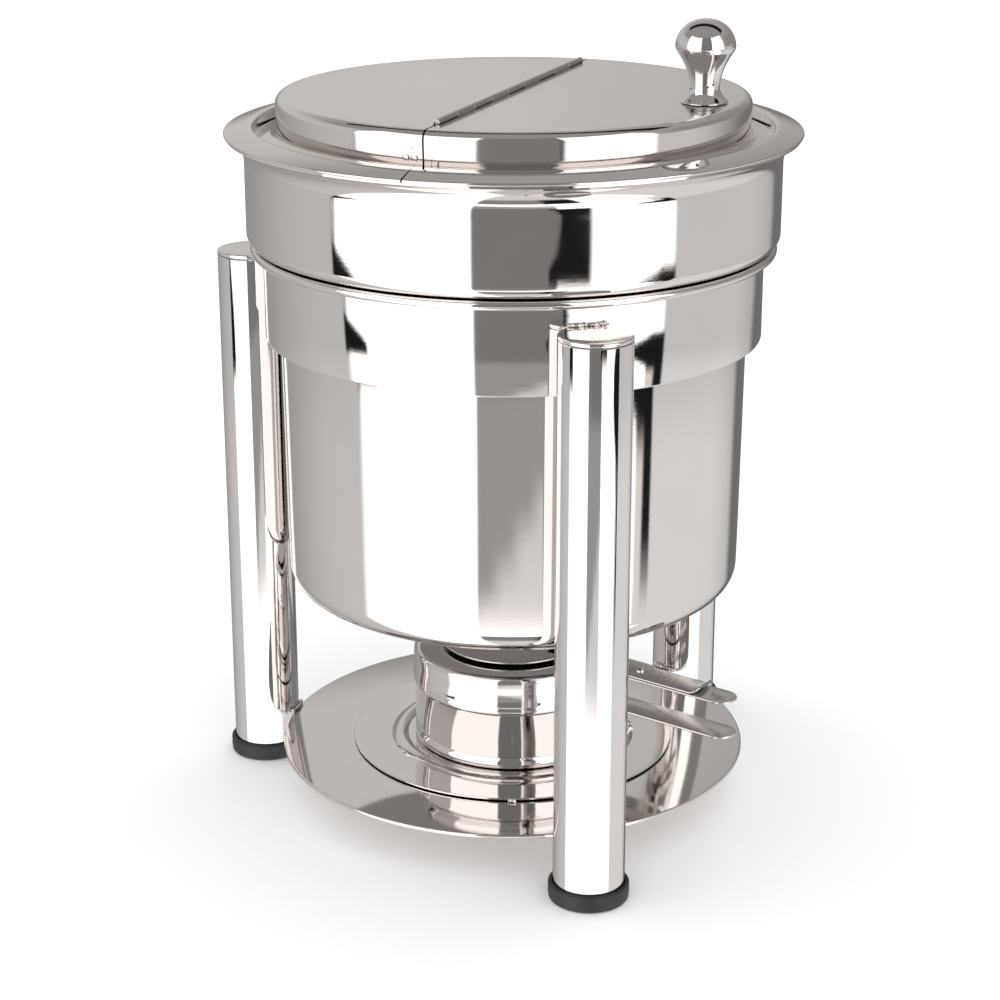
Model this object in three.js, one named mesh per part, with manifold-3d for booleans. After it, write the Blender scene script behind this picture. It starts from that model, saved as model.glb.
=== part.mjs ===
// A round soup kettle for a buffet table: a three-legged stand with a ring and a
// base plate, a water pan that hangs in the ring, a stepped food pan that stands on
// the water pan's lip, a two-part lid with a piano hinge, and a fuel burner with
// a swinging damper. Millimetres, +Z up, the floor at Z = 0 and the vessel's axis
// at X = Y = 0. The lid's knob is at the front (-Y) and its hinge lies along X.
import * as THREE from 'three';
import { mergeVertices } from 'three/addons/utils/BufferGeometryUtils.js';
import loadManifold from 'manifold-3d';

const wasm = await loadManifold();
wasm.setup();
const { Manifold, Mesh: SolidMesh } = wasm;

// ---------------------------------------------------------------- dimensions

const GAP = 0.3; // air between neighbours that touch
const SHEET = 1; // pressed sheet of the pans
const ROUND = 40; // facets of the large round pieces
const BURNER_ROUND = 32; // facets of the burner's round pieces

// Stand
const TUBE_RADIUS = 19.05; // 1.5 inch tube
const TUBE_WALL = 1.5;
const RING_RADIUS = 136.1;
const RING_WALL = 1.8;
const RING_BOTTOM = 271;
const RING_TOP = 317.4;
const PLATE_RADIUS = 133;
const PLATE_TOP = 27.3;
const PLATE_THICKNESS = 2;
const LEG_CENTRE = PLATE_RADIUS + 0.35 + TUBE_RADIUS; // legs stand against the plate
const LEG_TOP = 306.8;
const LEG_ANGLES = [-144.3, -24.3, 95.7].map(THREE.MathUtils.degToRad);
const CAP_THICKNESS = 2.3;
const FOOT_HEIGHT = 9.4;
const FOOT_FLOOR = 3;
const FOOT_RADIUS = 21.3;

// Burner seat on the base plate
const SEAT_RADIUS = 92.3;
const SEAT_BOTTOM = PLATE_TOP + GAP;
const SEAT_SHEET = 1;
const SEAT_TOP = SEAT_BOTTOM + SEAT_SHEET;
const SEAT_BEAD_RADIUS = 65.4;
const SEAT_BEAD_HALF_WIDTH = 4.6;
const SEAT_BEAD_RISE = 2.4;
const SEAT_TACK_DEGREES = [-159.8, -9.8, 50.2];

// Water pan
const WATER_RADIUS = 128.3;
const WATER_BOTTOM = 127;
const WATER_CORNER = 13;
const WATER_TAPER = 1.8;
const LIP_UNDERSIDE = RING_TOP + GAP;
const LIP_BEAD_CENTRE = [140.4, 319.2];
const LIP_BEAD_RADIUS = 2.4;

// Food pan
const STEP_BOTTOM = LIP_BEAD_CENTRE[1] + LIP_BEAD_RADIUS + GAP;
const INSET_RADIUS = 122.5;
const INSET_BOTTOM = 138;
const INSET_CORNER = 9;
const BAND_RADIUS = 144.6;
const BAND_CORNER = 5;
const FLARE_START = 369;
const FLARE_TOP = [153.9, 380.2];

// Rim ring on the food pan, with the ledge that the lid stands on
const RIM_OUTER = [154.4, 381.6];
const RIM_CREST = [141.4, 385.6];
const RIM_INNER_RADIUS = 139.5;
const LEDGE_TOP = 378.3;
const LEDGE_INNER_RADIUS = 131;
const RIM_SEAM_WIDTH = 0.4;

// Lid
const LID_SHEET = 0.9;
const LID_TOP = 401.5;
const LID_WALL_RADIUS = 127.3;
const LID_SHOULDER = 5;
const LID_COVE = 4.5;
const FLANGE_RADIUS = 136.9;
const FLANGE_BOTTOM = LEDGE_TOP + GAP;
const LID_SEAM_HALF = 0.5;

// Piano hinge along X
const HINGE_Z = LID_TOP + 1.1;
const HINGE_HALF_LENGTH = 110;
const KNUCKLES = 9;
const KNUCKLE_RADIUS = 1.7;
const KNUCKLE_BORE = 0.9;
const PIN_RADIUS = 0.55;
const SLOT_HALF = 1.95;
const LEAF_WIDTH = 14;
const LEAF_THICKNESS = 0.8;
const LEAF_INNER = 0.9;

// Knob
const KNOB_OFFSET = 105.5;
const KNOB_BASE = LID_TOP + GAP;
const SCREW_RADIUS = 2;
const SCREW_DEPTH = 12;

// Burner
const HANDLE_ANGLE = THREE.MathUtils.degToRad(-105.8);
const CAN_RADIUS = 56.3;
const CAN_BOTTOM = SEAT_TOP + GAP;
const CAN_SHOULDER = 66.5;
const CAN_TOP = 78;
const CAN_SHEET = 0.8;
const NECK_RADIUS = 54.8;
const BURNER_CAP_RADIUS = 56.9;
const BURNER_CAP_TOP = 85;
const BURNER_CAP_CORNER = 4;
const CAP_SHEET = 0.9;
const FLAME_RADIUS = 35;
const TIN_RADIUS = 42.5;
const TIN_TOP = 74;
const STRIP_WIDTH = 18;
const HANDLE_END = 149;
const CAN_HANDLE_THICKNESS = 1.5;
const CAN_HANDLE_TOP = 66;
const CAP_HANDLE_THICKNESS = 1.2;
const CAP_HANDLE_BOTTOM = BURNER_CAP_TOP + GAP;
const DAMPER_THICKNESS = 1.2;
const DAMPER_BOTTOM = CAP_HANDLE_BOTTOM + CAP_HANDLE_THICKNESS + GAP;
const DAMPER_RADIUS = 41;
const PIVOT_RADIUS = 88;
const LEVER_BEND = 124;

// ----------------------------------------------------------------- materials

function metal(name, color, roughness) {
  return new THREE.MeshStandardMaterial({ name, color, roughness, metalness: 1 });
}

const polished = () => metal('polished_stainless', 0xc9c5c1, 0.08);
const satin = () => metal('satin_stainless', 0xbfbbb7, 0.3);
const weldMetal = () => metal('weld_metal', 0xb8b4ae, 0.4);
const rubber = () => new THREE.MeshStandardMaterial({
  name: 'black_rubber', color: 0x151515, roughness: 0.7, metalness: 0,
});

// ------------------------------------------------------------ solid geometry

/** Six times the signed volume, to tell which way the faces look. */
function signedVolume(position, index) {
  const [a, b, c] = [new THREE.Vector3(), new THREE.Vector3(), new THREE.Vector3()];
  let sum = 0;
  for (let i = 0; i < index.length; i += 3) {
    a.fromBufferAttribute(position, index[i]);
    b.fromBufferAttribute(position, index[i + 1]);
    c.fromBufferAttribute(position, index[i + 2]);
    sum += a.dot(b.cross(c));
  }
  return sum;
}

/** Welds the vertices, drops slivers and turns the faces outward. */
function closed(source) {
  const bare = new THREE.BufferGeometry();
  bare.setAttribute('position', source.getAttribute('position').clone());
  if (source.index) bare.setIndex(source.index.clone());
  const welded = mergeVertices(bare, 1e-4);
  const index = [];
  const old = welded.index.array;
  for (let i = 0; i < old.length; i += 3) {
    const [a, b, c] = [old[i], old[i + 1], old[i + 2]];
    if (a !== b && b !== c && c !== a) index.push(a, b, c);
  }
  const position = welded.getAttribute('position');
  if (signedVolume(position, index) < 0) index.reverse();
  welded.setIndex(index);
  return welded;
}

function toSolid(geometry) {
  const shape = closed(geometry);
  return new Manifold(new SolidMesh({
    numProp: 3,
    vertProperties: new Float32Array(shape.getAttribute('position').array),
    triVerts: new Uint32Array(shape.index.array),
  }));
}

function fromSolid(solid) {
  const mesh = solid.getMesh();
  const geometry = new THREE.BufferGeometry();
  const stride = mesh.numProp;
  const count = mesh.vertProperties.length / stride;
  const points = new Float32Array(count * 3);
  for (let i = 0; i < count; i += 1) {
    for (let k = 0; k < 3; k += 1) points[i * 3 + k] = mesh.vertProperties[i * stride + k];
  }
  geometry.setAttribute('position', new THREE.BufferAttribute(points, 3));
  geometry.setIndex(Array.from(mesh.triVerts));
  return geometry;
}

const cut = (body, ...tools) => tools.reduce(
  (rest, tool) => fromSolid(toSolid(rest).subtract(toSolid(tool))), body);
const join = (body, ...others) => others.reduce(
  (sum, other) => fromSolid(toSolid(sum).add(toSolid(other))), body);
const common = (body, other) => fromSolid(toSolid(body).intersect(toSolid(other)));

/** Turns a profile of [radius, height] points round the Z axis. */
function turned(profile, facets = ROUND) {
  const points = profile.map(([r, z]) => new THREE.Vector2(r, z));
  return closed(new THREE.LatheGeometry(points, facets).rotateX(Math.PI / 2));
}

/** The same for a profile that closes on itself away from the axis. */
function turnedRing(profile, facets = ROUND) {
  return turned([...profile, profile[0]], facets);
}

/** Points on an arc in the [radius, height] plane; angles in degrees. */
function arc([r, z], radius, from, to, steps) {
  const points = [];
  for (let i = 0; i <= steps; i += 1) {
    const a = THREE.MathUtils.degToRad(from + ((to - from) * i) / steps);
    points.push([r + radius * Math.cos(a), z + radius * Math.sin(a)]);
  }
  return points;
}

/** An upright solid cylinder from z0 to z1. */
function post(radius, z0, z1, facets = 24) {
  return turned([[0, z0], [radius, z0], [radius, z1], [0, z1]], facets);
}

/** A box between two corners. */
function block([x0, y0, z0], [x1, y1, z1]) {
  const box = new THREE.BoxGeometry(x1 - x0, y1 - y0, z1 - z0);
  return closed(box.translate((x0 + x1) / 2, (y0 + y1) / 2, (z0 + z1) / 2));
}

/** A flat outline in X and Y, thickened from z0 to z1. */
function slab(shape, z0, z1, curveSegments = 10) {
  const options = { depth: z1 - z0, bevelEnabled: false, curveSegments };
  return closed(new THREE.ExtrudeGeometry(shape, options).translate(0, 0, z0));
}

/** A round bead swept along an arc about a point, for a weld. */
function weldBead([x, y, z], arcRadius, from, to, thickness) {
  const route = new THREE.Curve();
  route.getPoint = (t, target = new THREE.Vector3()) => {
    const a = from + (to - from) * t;
    return target.set(x + arcRadius * Math.cos(a), y + arcRadius * Math.sin(a), z);
  };
  const section = new THREE.Shape().absarc(0, 0, thickness, 0, 2 * Math.PI, false);
  const options = { steps: 8, curveSegments: 3, bevelEnabled: false, extrudePath: route };
  return closed(new THREE.ExtrudeGeometry(section, options));
}

const kettle = new THREE.Group();

/** Adds a named piece, optionally turned about Z and moved. */
function piece(name, geometry, material, { turn = 0 } = {}) {
  const mesh = new THREE.Mesh(geometry, material);
  mesh.name = name;
  mesh.rotation.z = turn;
  kettle.add(mesh);
  return mesh;
}

// --------------------------------------------------------------------- stand

function ringBand() {
  const inner = RING_RADIUS - RING_WALL;
  return turnedRing([
    [inner, RING_BOTTOM], [RING_RADIUS, RING_BOTTOM],
    [RING_RADIUS, RING_TOP], [inner, RING_TOP],
  ]);
}

/** The room that the ring band needs in a leg whose axis is at LEG_CENTRE on +X. */
function ringNotch() {
  return post(RING_RADIUS + GAP, RING_BOTTOM - GAP, LEG_TOP + 10, ROUND * 2);
}

function legTube() {
  const top = LEG_TOP - CAP_THICKNESS - GAP;
  const bottom = FOOT_FLOOR + GAP;
  const inner = TUBE_RADIUS - TUBE_WALL;
  const tube = turnedRing([[inner, bottom], [TUBE_RADIUS, bottom], [TUBE_RADIUS, top], [inner, top]], 24);
  return cut(tube.translate(LEG_CENTRE, 0, 0), ringNotch());
}

function legCap() {
  const bottom = LEG_TOP - CAP_THICKNESS;
  const edge = 0.7;
  const cap = turned([
    [0, bottom], [TUBE_RADIUS, bottom], [TUBE_RADIUS, LEG_TOP - edge],
    [TUBE_RADIUS - edge, LEG_TOP], [0, LEG_TOP],
  ], 24);
  return cut(cap.translate(LEG_CENTRE, 0, 0), ringNotch());
}

function legFoot() {
  const bore = TUBE_RADIUS + GAP;
  const foot = turned([
    [0, 0], [FOOT_RADIUS - 1, 0], [FOOT_RADIUS, 1.5], [FOOT_RADIUS, 5.5],
    [FOOT_RADIUS - 0.7, FOOT_HEIGHT - 0.8], [bore + 0.6, FOOT_HEIGHT],
    [bore, FOOT_HEIGHT - 0.4], [bore, FOOT_FLOOR], [0, FOOT_FLOOR],
  ], 24);
  return foot.translate(LEG_CENTRE, 0, 0);
}

/** The bead across the back of a leg's cap, in the corner against the ring. */
function ringWeld() {
  const thickness = 1.3;
  const radius = RING_RADIUS + GAP + thickness;
  return weldBead([0, 0, LEG_TOP + GAP + thickness], radius, -0.07, 0.07, thickness);
}

/** The bead on the base plate, round the inner side of a leg. */
function plateWeld() {
  const thickness = 1.1;
  const radius = TUBE_RADIUS + GAP + thickness;
  const z = PLATE_TOP + GAP + thickness;
  return weldBead([LEG_CENTRE, 0, z], radius, Math.PI - 0.36, Math.PI + 0.36, thickness);
}

/** A tack that holds the edge of the burner seat to the base plate. */
function seatTack() {
  const dome = turned([[0, 0], [2.6, 0], [2.2, 1], [1.1, 1.6], [0, 1.8]], 12);
  return dome.scale(0.7, 1.2, 0.8).translate(SEAT_RADIUS + GAP + 1.9, 0, SEAT_BOTTOM);
}

function burnerSeat() {
  const inner = SEAT_BEAD_RADIUS - SEAT_BEAD_HALF_WIDTH;
  const outer = SEAT_BEAD_RADIUS + SEAT_BEAD_HALF_WIDTH;
  const bead = (lift, inset) => [
    [outer - inset, lift], [SEAT_BEAD_RADIUS + 1.6, lift + SEAT_BEAD_RISE],
    [SEAT_BEAD_RADIUS - 1.6, lift + SEAT_BEAD_RISE], [inner + inset, lift],
  ];
  return turned([
    [0, SEAT_BOTTOM], ...bead(SEAT_BOTTOM, 0.4).reverse(), [SEAT_RADIUS, SEAT_BOTTOM],
    [SEAT_RADIUS, SEAT_TOP], ...bead(SEAT_TOP, 0), [0, SEAT_TOP],
  ]);
}

function buildStand() {
  piece('ring_band', ringBand(), polished());
  const plateBottom = PLATE_TOP - PLATE_THICKNESS;
  piece('base_plate', post(PLATE_RADIUS, plateBottom, PLATE_TOP, ROUND), polished());
  piece('burner_seat', burnerSeat(), polished());
  LEG_ANGLES.forEach((turn, i) => {
    piece(`leg_tube_${i + 1}`, legTube(), polished(), { turn });
    piece(`leg_cap_${i + 1}`, legCap(), polished(), { turn });
    piece(`leg_foot_${i + 1}`, legFoot(), rubber(), { turn });
    piece(`ring_weld_${i + 1}`, ringWeld(), weldMetal(), { turn });
    piece(`plate_weld_${i + 1}`, plateWeld(), weldMetal(), { turn });
    const tackTurn = THREE.MathUtils.degToRad(SEAT_TACK_DEGREES[i]);
    piece(`seat_tack_${i + 1}`, seatTack(), weldMetal(), { turn: tackTurn });
  });
}

// ---------------------------------------------------------------------- pans

function waterPan() {
  const [beadR, beadZ] = LIP_BEAD_CENTRE;
  const inner = WATER_RADIUS - SHEET;
  const lipTop = LIP_UNDERSIDE + SHEET;
  const corner = WATER_BOTTOM + WATER_CORNER;
  return turned([
    [0, WATER_BOTTOM],
    ...arc([WATER_RADIUS - WATER_TAPER - WATER_CORNER, corner], WATER_CORNER, -90, 0, 6),
    [WATER_RADIUS, LIP_UNDERSIDE],
    ...arc([beadR, beadZ], LIP_BEAD_RADIUS, -142, 168, 7),
    [inner + 1.5, lipTop], [inner, lipTop - 1.5],
    ...arc([inner - WATER_TAPER - WATER_CORNER + SHEET, corner], WATER_CORNER - SHEET, 0, -90, 5),
    [0, WATER_BOTTOM + SHEET],
  ]);
}

function foodPan() {
  const stepTop = STEP_BOTTOM + SHEET;
  const bandInner = BAND_RADIUS - SHEET;
  const insetInner = INSET_RADIUS - SHEET;
  const cornerZ = INSET_BOTTOM + INSET_CORNER;
  const cornerR = INSET_RADIUS - 1 - INSET_CORNER;
  const flareMid = [BAND_RADIUS + 3.3, FLARE_START + 3.6];
  return turned([
    [0, INSET_BOTTOM],
    ...arc([cornerR, cornerZ], INSET_CORNER, -90, 0, 3),
    [INSET_RADIUS, STEP_BOTTOM - 3], [INSET_RADIUS + 3, STEP_BOTTOM],
    ...arc([BAND_RADIUS - BAND_CORNER, STEP_BOTTOM + BAND_CORNER], BAND_CORNER, -90, 0, 4),
    [BAND_RADIUS, FLARE_START], flareMid, FLARE_TOP, [FLARE_TOP[0] - SHEET, FLARE_TOP[1] + 0.3],
    [flareMid[0] - SHEET, flareMid[1] + 0.7], [bandInner, FLARE_START + 0.5],
    ...arc([BAND_RADIUS - BAND_CORNER, STEP_BOTTOM + BAND_CORNER], BAND_CORNER - SHEET, 0, -90, 3),
    [INSET_RADIUS + 3, stepTop], [insetInner, STEP_BOTTOM - 3],
    ...arc([cornerR, cornerZ], INSET_CORNER - SHEET, 0, -90, 2),
    [0, INSET_BOTTOM + SHEET],
  ]);
}

/** Flange, inner wall and lid ledge in one strip, bent round and butted at -X. */
function rimRing() {
  const [outerR, outerZ] = RIM_OUTER;
  const [crestR, crestZ] = RIM_CREST;
  const ledgeBottom = LEDGE_TOP - SHEET;
  const ring = turnedRing([
    [outerR, outerZ], [outerR, outerZ + 0.7], [outerR - 0.7, outerZ + 1.2],
    [crestR, crestZ], [RIM_INNER_RADIUS, crestZ - 1.4],
    [RIM_INNER_RADIUS, LEDGE_TOP],
    [LEDGE_INNER_RADIUS, LEDGE_TOP], [LEDGE_INNER_RADIUS, ledgeBottom],
    [RIM_INNER_RADIUS + SHEET, ledgeBottom + 0.4],
    [RIM_INNER_RADIUS + SHEET, crestZ - 1.8], [crestR + 0.4, crestZ - 1.2],
  ]);
  const half = RIM_SEAM_WIDTH / 2;
  const slit = block([-outerR - 5, -half, 360], [-LEDGE_INNER_RADIUS + 5, half, 400]);
  return cut(ring, slit);
}

function buildPans() {
  piece('water_pan', waterPan(), polished());
  piece('food_pan', foodPan(), polished());
  piece('food_pan_rim', rimRing(), polished());
}

// ----------------------------------------------------------------------- lid

function wholeLid() {
  const under = LID_TOP - LID_SHEET;
  const flangeTop = FLANGE_BOTTOM + LID_SHEET;
  const wallInner = LID_WALL_RADIUS - LID_SHEET;
  const shoulder = [LID_WALL_RADIUS - LID_SHOULDER, LID_TOP - LID_SHOULDER];
  const cove = [LID_WALL_RADIUS + LID_COVE - 0.6, flangeTop + LID_COVE];
  return turned([
    [0, LID_TOP],
    ...arc(shoulder, LID_SHOULDER, 90, 0, 3),
    ...arc(cove, LID_COVE, 180, 270, 3),
    [FLANGE_RADIUS - 0.4, flangeTop], [FLANGE_RADIUS, flangeTop - 0.4],
    [FLANGE_RADIUS, FLANGE_BOTTOM + 0.3], [FLANGE_RADIUS - 0.4, FLANGE_BOTTOM],
    ...arc(cove, LID_COVE + LID_SHEET, 270, 180, 3),
    ...arc([wallInner - LID_SHOULDER + LID_SHEET, shoulder[1]], LID_SHOULDER - LID_SHEET, 0, 90, 3),
    [0, under],
  ]);
}

/** The half of the lid on one side of the hinge; side is 1 for +Y, -1 for -Y. */
function lidHalf(side) {
  const reach = 200;
  const keep = side > 0
    ? block([-reach, LID_SEAM_HALF, 300], [reach, reach, 500])
    : block([-reach, -reach, 300], [reach, -LID_SEAM_HALF, 500]);
  const slotLength = HINGE_HALF_LENGTH + 1;
  const slot = block([-slotLength, -SLOT_HALF, 390], [slotLength, SLOT_HALF, 410]);
  return cut(common(wholeLid(), keep), slot);
}

/** A leaf under the lid's top with every other knuckle of the hinge barrel. */
function hingeLeaf(side) {
  const top = LID_TOP - LID_SHEET - GAP;
  const bottom = top - LEAF_THICKNESS;
  const length = HINGE_HALF_LENGTH;
  const pitch = (2 * length) / KNUCKLES;
  const between = 0.2;
  const ys = side > 0 ? [LEAF_INNER, LEAF_WIDTH] : [-LEAF_WIDTH, -LEAF_INNER];
  let leaf = block([-length, ys[0], bottom], [length, ys[1], top]);
  for (let i = side > 0 ? 0 : 1; i < KNUCKLES; i += 2) {
    const x0 = -length + i * pitch + between;
    const x1 = -length + (i + 1) * pitch - between;
    const barrel = post(KNUCKLE_RADIUS, 0, x1 - x0, 16).rotateY(Math.PI / 2);
    const webs = side > 0 ? [LEAF_INNER, 1.6] : [-1.6, -LEAF_INNER];
    const web = block([x0, webs[0], bottom + 0.2], [x1, webs[1], HINGE_Z]);
    leaf = join(leaf, join(web, barrel.translate(x0, 0, HINGE_Z)));
  }
  const bore = post(KNUCKLE_BORE, -length - 5, length + 5, 16).rotateY(Math.PI / 2);
  return cut(leaf, bore.translate(0, 0, HINGE_Z));
}

function hingePin() {
  const length = HINGE_HALF_LENGTH - 0.5;
  return post(PIN_RADIUS, -length, length, 12).rotateY(Math.PI / 2).translate(0, 0, HINGE_Z);
}

/** A curved tab inside the fixed wall that stops the flap level with it. */
function seamClip(endSign) {
  const outer = LID_WALL_RADIUS - LID_SHEET - 1.4; // clear of the wall where it draws in
  const strip = turnedRing([[outer - 0.8, 384.5], [outer, 384.5], [outer, 392], [outer - 0.8, 392]], 96);
  const window = endSign < 0
    ? block([-140, -7, 380], [-100, 12, 400])
    : block([100, -7, 380], [140, 12, 400]);
  return common(strip, window);
}

function knobGeometry() {
  const boreRadius = SCREW_RADIUS + GAP;
  return turned([
    [0, SCREW_DEPTH + GAP], [boreRadius, SCREW_DEPTH + GAP], [boreRadius, 0],
    [12.6, 0], [12.6, 0.5], [7.8, 6.8], [8.1, 9.4], [8.8, 14], [10.1, 17.7], [12.2, 22],
    [15.1, 26.7], [15.7, 28.4], ...arc([1.4, 28.4], 14.3, 12, 82, 5), [0, 42.7],
  ], 24).translate(0, -KNOB_OFFSET, KNOB_BASE);
}

function knobScrew() {
  const headTop = LID_TOP - LID_SHEET - GAP;
  return turned([
    [0, headTop - 2.4], [3.4, headTop - 2.4], [4.6, headTop - 1.2], [4.6, headTop],
    [SCREW_RADIUS, headTop], [SCREW_RADIUS, KNOB_BASE + SCREW_DEPTH - 1],
    [0, KNOB_BASE + SCREW_DEPTH - 1],
  ], 16).translate(0, -KNOB_OFFSET, 0);
}

function buildLid() {
  const screwHole = post(SCREW_RADIUS + GAP, 390, 410, 16).translate(0, -KNOB_OFFSET, 0);
  piece('lid_fixed_half', lidHalf(1), satin());
  piece('hinge_leaf_fixed', hingeLeaf(1), satin());
  piece('hinge_pin', hingePin(), satin());
  piece('seam_clip_left', seamClip(-1), satin());
  piece('seam_clip_right', seamClip(1), satin());
  piece('lid_flap', cut(lidHalf(-1), screwHole), satin());
  piece('hinge_leaf_flap', hingeLeaf(-1), satin());
  piece('knob', knobGeometry(), polished());
  piece('knob_screw', knobScrew(), satin());
}

// -------------------------------------------------------------------- burner
// The burner's pieces are drawn with the handles along +X and then turned.

/** A strip along +X from x0 to a round end. */
function stripShape(x0, x1, width = STRIP_WIDTH) {
  const half = width / 2;
  const shape = new THREE.Shape();
  shape.moveTo(x0, -half);
  shape.lineTo(x1 - half, -half);
  shape.absarc(x1 - half, 0, half, -Math.PI / 2, Math.PI / 2, false);
  shape.lineTo(x0, half);
  shape.closePath();
  return shape;
}

function alongX(radius, x0, x1, y, z) {
  return post(radius, x0, x1, 12).rotateY(Math.PI / 2).translate(0, y, z);
}

const RIVET_SHANK = 1.3;
const RIVET_HOLE = RIVET_SHANK + GAP;
const CAN_RIVETS = [-5, 5].map((y) => [y, 53]);
const CAP_RIVETS = [-5, 5].map((y) => [47.5, y]);

function burnerCan() {
  const foot = CAN_BOTTOM;
  const can = turned([
    [0, foot], [54.6, foot], [56.4, foot + 1.4], [56.6, foot + 3.6], [55.8, foot + 5.6],
    [54.9, foot + 6.6], [CAN_RADIUS, foot + 7.8],
    [CAN_RADIUS, 62], [57, 63.2], [57, 65.2], [CAN_RADIUS, CAN_SHOULDER],
    [NECK_RADIUS, CAN_SHOULDER], [NECK_RADIUS, CAN_TOP], [NECK_RADIUS - CAN_SHEET, CAN_TOP],
    [NECK_RADIUS - CAN_SHEET, foot + 1], [0, foot + 1],
  ], BURNER_ROUND);
  const holes = CAN_RIVETS.map(([y, z]) => alongX(RIVET_HOLE, 45, 65, y, z));
  return cut(can, ...holes);
}

/** The can's handle: a flat strip with a tab turned down against the wall. */
function canHandle() {
  const bottom = CAN_HANDLE_TOP - CAN_HANDLE_THICKNESS;
  const start = 57 + GAP;
  const strip = slab(stripShape(start, HANDLE_END), bottom, CAN_HANDLE_TOP);
  const half = STRIP_WIDTH / 2;
  const tab = block([start, -half, 47], [start + CAN_HANDLE_THICKNESS, half, bottom + 0.1]);
  const holes = CAN_RIVETS.map(([y, z]) => alongX(RIVET_HOLE, 45, 70, y, z));
  return cut(join(strip, tab), ...holes);
}

/** A rivet along +X through the tab and the can's wall. */
function canRivet(y, z) {
  const inside = NECK_RADIUS - CAN_SHEET - GAP - 0.6;
  const outside = 57 + GAP + CAN_HANDLE_THICKNESS + GAP;
  const rivet = turned([
    [0, inside - 0.8], [2.2, inside - 0.8], [2.2, inside], [RIVET_SHANK, inside],
    [RIVET_SHANK, outside], [2.6, outside], [2.2, outside + 0.9], [0, outside + 1.3],
  ], 12);
  return rivet.rotateY(Math.PI / 2).translate(0, y, z);
}

/** The tin of fuel that stands in the can, open at the top. */
function fuelTin() {
  const bottom = CAN_BOTTOM + 1 + GAP;
  const wall = 0.8;
  return turned([
    [0, bottom], [TIN_RADIUS, bottom], [TIN_RADIUS, TIN_TOP - 1], [TIN_RADIUS - 1, TIN_TOP],
    [33, TIN_TOP], [33, TIN_TOP - wall], [TIN_RADIUS - wall, TIN_TOP - wall - 0.6],
    [TIN_RADIUS - wall, bottom + wall], [0, bottom + wall],
  ], 24);
}

function burnerCap() {
  const bottom = CAN_SHOULDER + GAP;
  const sheet = CAP_SHEET;
  const corner = [BURNER_CAP_RADIUS - BURNER_CAP_CORNER, BURNER_CAP_TOP - BURNER_CAP_CORNER];
  const cap = turnedRing([
    [FLAME_RADIUS, BURNER_CAP_TOP - 3], [FLAME_RADIUS + sheet, BURNER_CAP_TOP - 3],
    [FLAME_RADIUS + sheet, BURNER_CAP_TOP - sheet],
    ...arc(corner, BURNER_CAP_CORNER - sheet, 90, 0, 2),
    [BURNER_CAP_RADIUS - sheet, bottom], [BURNER_CAP_RADIUS + 0.3, bottom],
    [BURNER_CAP_RADIUS + 0.3, bottom + 1], [BURNER_CAP_RADIUS, bottom + 1.6],
    ...arc(corner, BURNER_CAP_CORNER, 0, 90, 3),
    [FLAME_RADIUS + 0.6, BURNER_CAP_TOP], [FLAME_RADIUS, BURNER_CAP_TOP - 0.6],
  ], BURNER_ROUND);
  const holes = CAP_RIVETS.map(([x, y]) => post(RIVET_HOLE, 70, 95, 12).translate(x, y, 0));
  return cut(cap, ...holes);
}

/** The cap's handle: a strip on the cap's top that runs out over the can's handle. */
function capHandle() {
  const top = CAP_HANDLE_BOTTOM + CAP_HANDLE_THICKNESS;
  const strip = slab(stripShape(43, HANDLE_END), CAP_HANDLE_BOTTOM, top);
  const holes = [...CAP_RIVETS, [PIVOT_RADIUS, 0]].map(
    ([x, y]) => post(RIVET_HOLE, 70, 95, 12).translate(x, y, 0));
  return cut(strip, ...holes);
}

/** An upright rivet from its lower head at z0 to the upper head's outline. */
function uprightRivet([x, y], z0, upperHead) {
  return turned([
    [0, z0 - 0.8], [2, z0 - 0.8], [2, z0], [RIVET_SHANK, z0],
    [RIVET_SHANK, upperHead[0][1]], ...upperHead,
  ], 12).translate(x, y, 0);
}

/** The damper: a disc over the flame opening and a lever with a turned-up end. */
function damper() {
  const top = DAMPER_BOTTOM + DAMPER_THICKNESS;
  const disc = post(DAMPER_RADIUS, DAMPER_BOTTOM, top, BURNER_ROUND);
  const half = STRIP_WIDTH / 2;
  const lever = block([0, -half, DAMPER_BOTTOM], [LEVER_BEND, half, top]);
  const bend = new THREE.Shape();
  const centreZ = DAMPER_BOTTOM + 8;
  bend.absarc(LEVER_BEND, centreZ, 8, -Math.PI / 2 - 0.01, -Math.PI / 6, false);
  bend.absarc(LEVER_BEND, centreZ, 8 - DAMPER_THICKNESS, -Math.PI / 6, -Math.PI / 2 - 0.01, true);
  bend.closePath();
  const options = { depth: STRIP_WIDTH, bevelEnabled: false, curveSegments: 6 };
  const tab = new THREE.ExtrudeGeometry(bend, options).rotateX(Math.PI / 2);
  const body = join(join(disc, lever), closed(tab.translate(0, half, 0)));
  return cut(body, post(RIVET_HOLE, 70, 100, 12).translate(PIVOT_RADIUS, 0, 0));
}

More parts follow.
